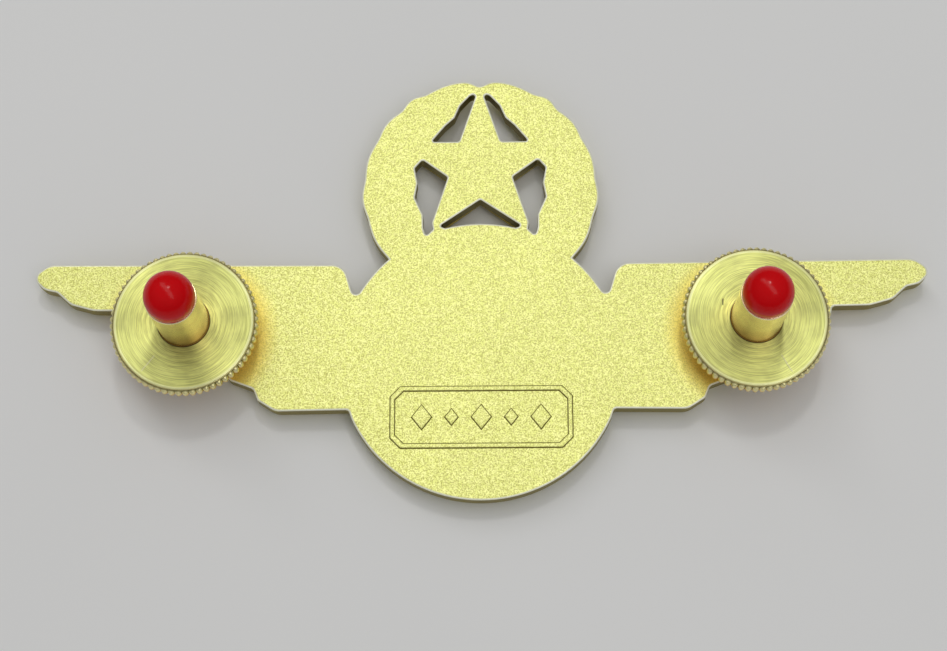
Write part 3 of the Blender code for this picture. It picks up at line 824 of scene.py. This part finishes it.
# The solder rings: silver solder melted round each stud's foot, which holds the stud on the badge's back.
# Each froze as a low cone with slight lumps round its outer edge.
RING_BORE = 2.15
RING_EDGE = 2.72
LUMP_SEEDS = {"left": 7.0, "right": 3.0}
LUMP_HEIGHT = 0.12
LUMP_START = 2.2
fillet_profile = [
    (RING_BORE, 0.05),
    (RING_EDGE, 0.05),
    (2.68, 0.07),
    (2.5, 0.12),
    (2.36, 0.18),
    (2.26, 0.26),
    (2.2, 0.34),
    (RING_BORE, 0.37),
    (RING_BORE, 0.05),
]


def silver_solder():
    """Dull silver solder that froze with ripples, browned by flux in its hollows."""
    solder = Finish("silver_solder", metallic=1.0)
    place = solder.place()
    ripple = solder.grain(place, 2.6, 3.0, 0.6)
    pits = solder.grain(place, 9.0, 2.0, 0.6)
    colour = solder.blend(solder.fade(ripple, 0.35, 0.7), (0.46, 0.38, 0.26), (0.76, 0.74, 0.68))
    return solder.surface(
        base_color=colour,
        roughness=0.3 + pits * 0.25,
        normal=solder.bump(ripple * 0.7 + pits * 0.3, 0.6, 0.05),
    )


solder_finish = silver_solder()
for side in SIDES:
    fillet = turned(f"{side}_solder_ring", fillet_profile, 96)
    seed = Vector((0.0, 0.0, LUMP_SEEDS[side]))
    for corner in fillet.data.vertices:
        radius = corner.co.xy.length
        if radius > LUMP_START:
            share = (radius - RING_BORE) / (RING_EDGE - RING_BORE)
            lump = noise.noise(corner.co * 1.3 + seed) * LUMP_HEIGHT * share
            corner.co.xy *= (radius - abs(lump)) / radius
    set_down(fillet, stud_axis[side], 60.0)
    fillet.data.materials.append(solder_finish)
    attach(fillet, "badge")
    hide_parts(f"{side}_solder_fillet")


# The thumb discs: turned from brass bar, with fine tool marks round the face, a rolled lip, a shallow groove
# and 64 rounded knurl teeth. Each is bored for its barrel and recessed underneath.
DISC_TOP = 1.2
TOOTH_FOOT = 5.93
TOOTH_TIP = 6.2
TEETH = 64
TOOTH_STEPS = 8
LIP_RADIUS = 5.86
disc_profile = [
    (3.2, 0.0),
    (5.72, 0.0),
    (5.86, 0.04),
    (TOOTH_FOOT, 0.12),
    (6.1, 0.17),
    (6.18, 0.25),
    (TOOTH_TIP, 0.36),
    (TOOTH_TIP, 0.82),
    (6.18, 0.93),
    (6.1, 1.01),
    (TOOTH_FOOT, 1.06),
    (5.9, 1.02),
    (LIP_RADIUS, 1.06),
    (LIP_RADIUS, 1.13),
    (5.84, 1.17),
    (5.79, 1.195),
    (5.7, DISC_TOP),
    (2.26, DISC_TOP),
    (2.235, 1.19),
    (2.23, 1.15),
    (2.23, 0.9),
    (2.33, 0.85),
    (2.33, 0.5),
    (3.1, 0.5),
    (3.16, 0.48),
    (3.2, 0.42),
    (3.2, 0.0),
]
disc = turned("disc", disc_profile, TEETH * TOOTH_STEPS)
for corner in disc.data.vertices:
    radius = corner.co.xy.length
    if radius > TOOTH_FOOT + 0.01:
        share = abs(math.sin(math.radians(heading(corner.co)) * TEETH / 2.0)) ** 0.8
        corner.co.xy *= (TOOTH_FOOT + (radius - TOOTH_FOOT) * share) / radius


def turned_brass(name, centre, scratch_angle, nick):
    """Bare lathe-turned brass: rings of fine tool marks, with a painted highlight along the lip, painted
    shade between the teeth and a painted orange reflection low on the sides.

    Handling has left a scratch at an angle, and a nick if it is given a place.
    """
    brass = Finish(name, metallic=1.0, anisotropic=0.92, anisotropic_rotation=0.25)
    place = brass.place(centre)
    across = brass.axis(place, "X")
    deep = brass.axis(place, "Y")
    height = brass.axis(place, "Z")
    radius = brass.reach(place)
    drift = brass.grain(place, 0.35, 1.0, 0.5)
    swept = {0: across / radius * 2.2, 1: deep / radius * 2.2, 2: radius * 14.0}
    fine = brass.grain(brass.node("ShaderNodeCombineXYZ", inputs=swept), 1.0, 2.0, 0.6)
    broad_words = {"W": radius * 4.5 + drift * 0.5, "Scale": 1.0, "Detail": 2.0}
    broad = brass.node("ShaderNodeTexNoise", {"noise_dimensions": "1D"}, broad_words)
    smear = brass.grain(place, 0.5, 3.0, 0.6)
    turn = math.radians(scratch_angle)
    along = across * math.cos(turn) + deep * math.sin(turn)
    beside = across * -math.sin(turn) + deep * math.cos(turn)
    wander = brass.grain(place, 1.2, 2.0, 0.5) * 0.08
    width = brass.math("ABSOLUTE", beside + wander - 0.04)
    length = brass.fade(along, 3.6, 3.9) * (1.0 - brass.fade(along, 5.3, 5.5))
    scratch = (1.0 - brass.fade(width, 0.02, 0.06)) * length
    dent = 0.0
    if nick:
        nick_x = brass.math("ABSOLUTE", across - nick[0] + wander * 4.0 - 0.16)
        nick_y = brass.math("ABSOLUTE", deep - nick[1])
        dent = (1.0 - brass.fade(nick_x, 0.03, 0.09)) * (1.0 - brass.fade(nick_y, 0.2, 0.34))
        dent = dent * brass.fade(height, DISC_TOP - 0.05, DISC_TOP - 0.01)
    face = brass.fade(height, DISC_TOP - 0.03, DISC_TOP - 0.005)
    tooth = brass.fade(radius, TOOTH_FOOT, TOOTH_FOOT + 0.12)
    groove_shade = (1.0 - tooth) * brass.fade(radius, LIP_RADIUS + 0.01, LIP_RADIUS + 0.03) * (1.0 - face)
    rings = brass.fade(fine * 0.75 + broad * 0.25, 0.34, 0.64)
    tone = brass.blend(rings, (0.58, 0.60, 0.19), (0.97, 1.0, 0.36))
    tone = brass.blend(brass.fade(smear, 0.45, 0.75) * 0.35, tone, (0.50, 0.50, 0.20))
    tone = brass.blend(1.0 - face, tone, (0.98, 0.90, 0.46))
    # Painted highlight: a pale ring painted along the lip of the face.
    rim = brass.fade(radius, LIP_RADIUS - 0.27, LIP_RADIUS - 0.19)
    rim = rim * (1.0 - brass.fade(radius, LIP_RADIUS, LIP_RADIUS + 0.02))
    tone = brass.blend(rim * face * 0.55, tone, (1.0, 1.0, 0.60))
    # Painted reflection: the disc's underside and lower sides are painted orange, standing in for the gold
    # plate's light reflected onto them.
    under = 1.0 - brass.fade(height, 0.2, 0.7)
    tone = brass.blend(under, tone, (1.0, 0.62, 0.12))
    # Painted shade: darker between the knurl teeth and in the groove.
    tone = brass.blend(groove_shade * 0.7, tone, (0.10, 0.08, 0.02))
    tone = brass.blend(scratch * face * 0.6, tone, (0.96, 0.92, 0.66))
    tone = brass.blend(dent * 0.9, tone, (0.10, 0.09, 0.03))
    relief_height = fine * 0.7 + broad * 0.3 - scratch * 0.5 - dent
    return brass.surface(
        base_color=tone,
        roughness=0.40 + fine * 0.08 + smear * 0.08 - (1.0 - face) * 0.16,
        normal=brass.bump(relief_height, 0.6, 0.02),
    )


SCRATCH_DEGREES = {"left": 232.0, "right": 300.0}
NICKS = {"left": None, "right": (-2.75, 1.35)}
for side in SIDES:
    piece = twin(disc, f"{side}_knurled_disc")
    set_down(piece, nut_axis[side], 38.0)
    worn_brass = turned_brass(f"{side}_turned_brass", nut_axis[side], SCRATCH_DEGREES[side], NICKS[side])
    piece.data.materials.append(worn_brass)
    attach(piece, f"{side}_nut")
    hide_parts(f"{side}_nut_disc")
bpy.data.objects.remove(disc)


# The barrels: smooth brass tubes pressed through the discs, with a slight collar at the foot, a screw thread
# cut inside and a plain socket on top for the tip.
THREAD_SLACK = 0.085
NUT_THREAD_LOW = 0.3
NUT_THREAD_HIGH = 7.3
NUT_LIFT = (nut_axis["left"].z - stud_axis["left"].z) / MM
barrel_profile = [
    (0.0, 0.9),
    (1.7, 0.9),
    (1.95, 0.68),
    (2.02, 0.6),
    (2.24, 0.6),
    (2.28, 0.64),
    (2.28, 0.78),
    (2.19, 0.84),
    (2.19, 1.26),
    (2.175, 1.31),
    (2.145, 1.34),
    (2.13, 1.37),
    (2.13, 7.62),
    (2.115, 7.69),
    (2.07, 7.74),
    (2.0, 7.75),
    (1.68, 7.75),
    (1.62, 7.69),
    (1.62, 6.75),
    (0.0, 6.75),
]
barrel = turned("barrel", barrel_profile, 128)
nut_major = THREAD_MAJOR + THREAD_SLACK
nut_minor = THREAD_MINOR + THREAD_SLACK
nut_screw = screw_rod("nut_screw", nut_major, nut_minor, -(NUT_LIFT % PITCH), NUT_THREAD_LOW, NUT_THREAD_HIGH)
combine(barrel, nut_screw, "DIFFERENCE")


def smooth_brass(name, centre):
    """Polished brass with faint rings from the lathe and brown stains, painted reddish brown towards its foot
    as a reflection and painted dark round the foot as shade.
    """
    brass = Finish(name, metallic=1.0)
    place = brass.place(centre)
    height = brass.axis(place, "Z")
    ring_words = {"W": height * 9.0, "Scale": 1.0, "Detail": 3.0}
    rings = brass.node("ShaderNodeTexNoise", {"noise_dimensions": "1D"}, ring_words)
    smear = brass.grain(place, 1.1, 3.0, 0.55)
    # Painted shade: dark round the foot where the barrel meets the disc.
    foot = 1.0 - brass.fade(height, 1.2, 1.5)
    # Painted reflection: reddish brown towards the lower barrel, standing in for the warm colours it
    # reflects.
    low_reflection = 1.0 - brass.fade(height + smear * 1.5, 1.8, 6.0)
    stain = brass.fade(smear, 0.38, 0.72)
    colour = brass.blend(rings * 0.6, (1.0, 0.88, 0.60), (0.93, 0.74, 0.42))
    colour = brass.blend(stain * 0.3, colour, (0.70, 0.44, 0.20))
    colour = brass.blend(low_reflection * 0.75, colour, (0.64, 0.34, 0.15))
    colour = brass.blend(foot * 0.85, colour, (0.16, 0.06, 0.02))
    return brass.surface(
        base_color=colour,
        roughness=0.12 + rings * 0.06 + smear * 0.08 + foot * 0.1,
        normal=brass.bump(rings, 0.25, 0.008),
    )


for side in SIDES:
    piece = twin(barrel, f"{side}_barrel")
    set_down(piece, nut_axis[side], 35.0)
    piece.data.materials.append(smooth_brass(f"{side}_smooth_brass", nut_axis[side]))
    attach(piece, f"{side}_nut")
    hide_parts(f"{side}_nut_barrel")
bpy.data.objects.remove(barrel)


# The tips: bullet-shaped plugs moulded in glossy red plastic and pressed into the barrels, where they cover
# the ends of the studs.
TIP_SEAT = 7.8
TIP_RADIUS = 2.06
DOME_START = TIP_SEAT + 0.6
DOME_HEIGHT = 2.1
DOME_ROWS = 24
tip_profile = [
    (0.0, 7.0),
    (1.4, 7.0),
    (1.52, 7.12),
    (1.52, TIP_SEAT),
    (TIP_RADIUS - 0.09, TIP_SEAT),
    (TIP_RADIUS - 0.03, TIP_SEAT + 0.03),
    (TIP_RADIUS, TIP_SEAT + 0.1),
]
for row in range(DOME_ROWS + 1):
    across, up = polar(1.0, 90.0 * row / DOME_ROWS)
    tip_profile.append((TIP_RADIUS * across if row < DOME_ROWS else 0.0, DOME_START + DOME_HEIGHT * up))


def red_plastic():
    """Glossy moulded plastic, with the slight ripple and cloudiness of a small cheap moulding."""
    plastic = Finish("red_plastic", specular_ior_level=0.17)
    place = plastic.place()
    ripple = plastic.grain(place, 0.9, 2.0, 0.5)
    dust = plastic.grain(place, 7.0, 2.0, 0.6)
    colour = plastic.blend(ripple, (0.74, 0.0, 0.004), (0.64, 0.0, 0.002))
    return plastic.surface(
        base_color=colour,
        roughness=0.12 + dust * 0.1,
        normal=plastic.bump(ripple * 0.8 + dust * 0.2, 0.3, 0.03),
    )


plastic_finish = red_plastic()
for side in SIDES:
    piece = turned(f"{side}_tip", tip_profile, 96)
    set_down(piece, nut_axis[side], 40.0)
    piece.data.materials.append(plastic_finish)
    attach(piece, f"{side}_tip")
    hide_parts(f"{side}_red_tip")
